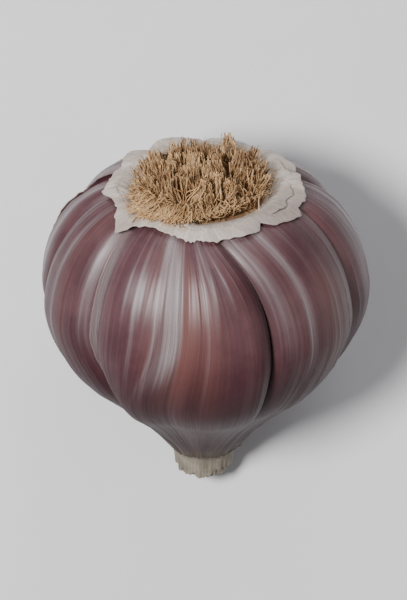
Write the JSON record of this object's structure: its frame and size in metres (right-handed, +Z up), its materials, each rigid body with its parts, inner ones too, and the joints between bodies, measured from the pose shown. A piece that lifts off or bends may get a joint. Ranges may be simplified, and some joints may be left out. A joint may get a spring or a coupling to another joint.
{
  "type": "garlic bulb",
  "caption": "Whole purple-striped garlic bulb lying on its side: plump cloves round a short cut neck, torn papery skin, a root plate with trimmed dry roots.",
  "frame": {"origin": "middle of the bounding box at the level of the surface the bulb rests on", "axes": "+Z up; the bulb's own axis lies in the YZ plane, neck down towards -Y and roots up towards +Y; X runs across the bulb"},
  "size_m": [0.0488, 0.0494, 0.0454],
  "materials": {
    "clove_skin": "glossy",
    "wrapper_skin": "satin",
    "collar_paper": "matte",
    "root_plate": "matte",
    "dry_roots": "matte",
    "stalk": "matte",
    "neck_paper": "matte"
  },
  "bodies": {
    "root": {"clove_front_left": "clove_skin", "clove_front_right": "clove_skin", "clove_right_upper": "clove_skin", "clove_right_side": "clove_skin", "clove_right_lower": "clove_skin", "clove_rest_right": "clove_skin", "clove_rest_left": "clove_skin", "clove_left_lower": "clove_skin", "clove_left_side": "clove_skin", "clove_left_upper": "clove_skin", "skin_front": "wrapper_skin", "skin_right": "wrapper_skin", "skin_left": "wrapper_skin", "skin_back_right": "wrapper_skin", "skin_back_left": "wrapper_skin", "collar": "collar_paper", "root_plate": "root_plate", "root_tuft": "dry_roots", "neck_stalk": "stalk", "neck_sheath": "neck_paper"}
  },
  "joints": []
}
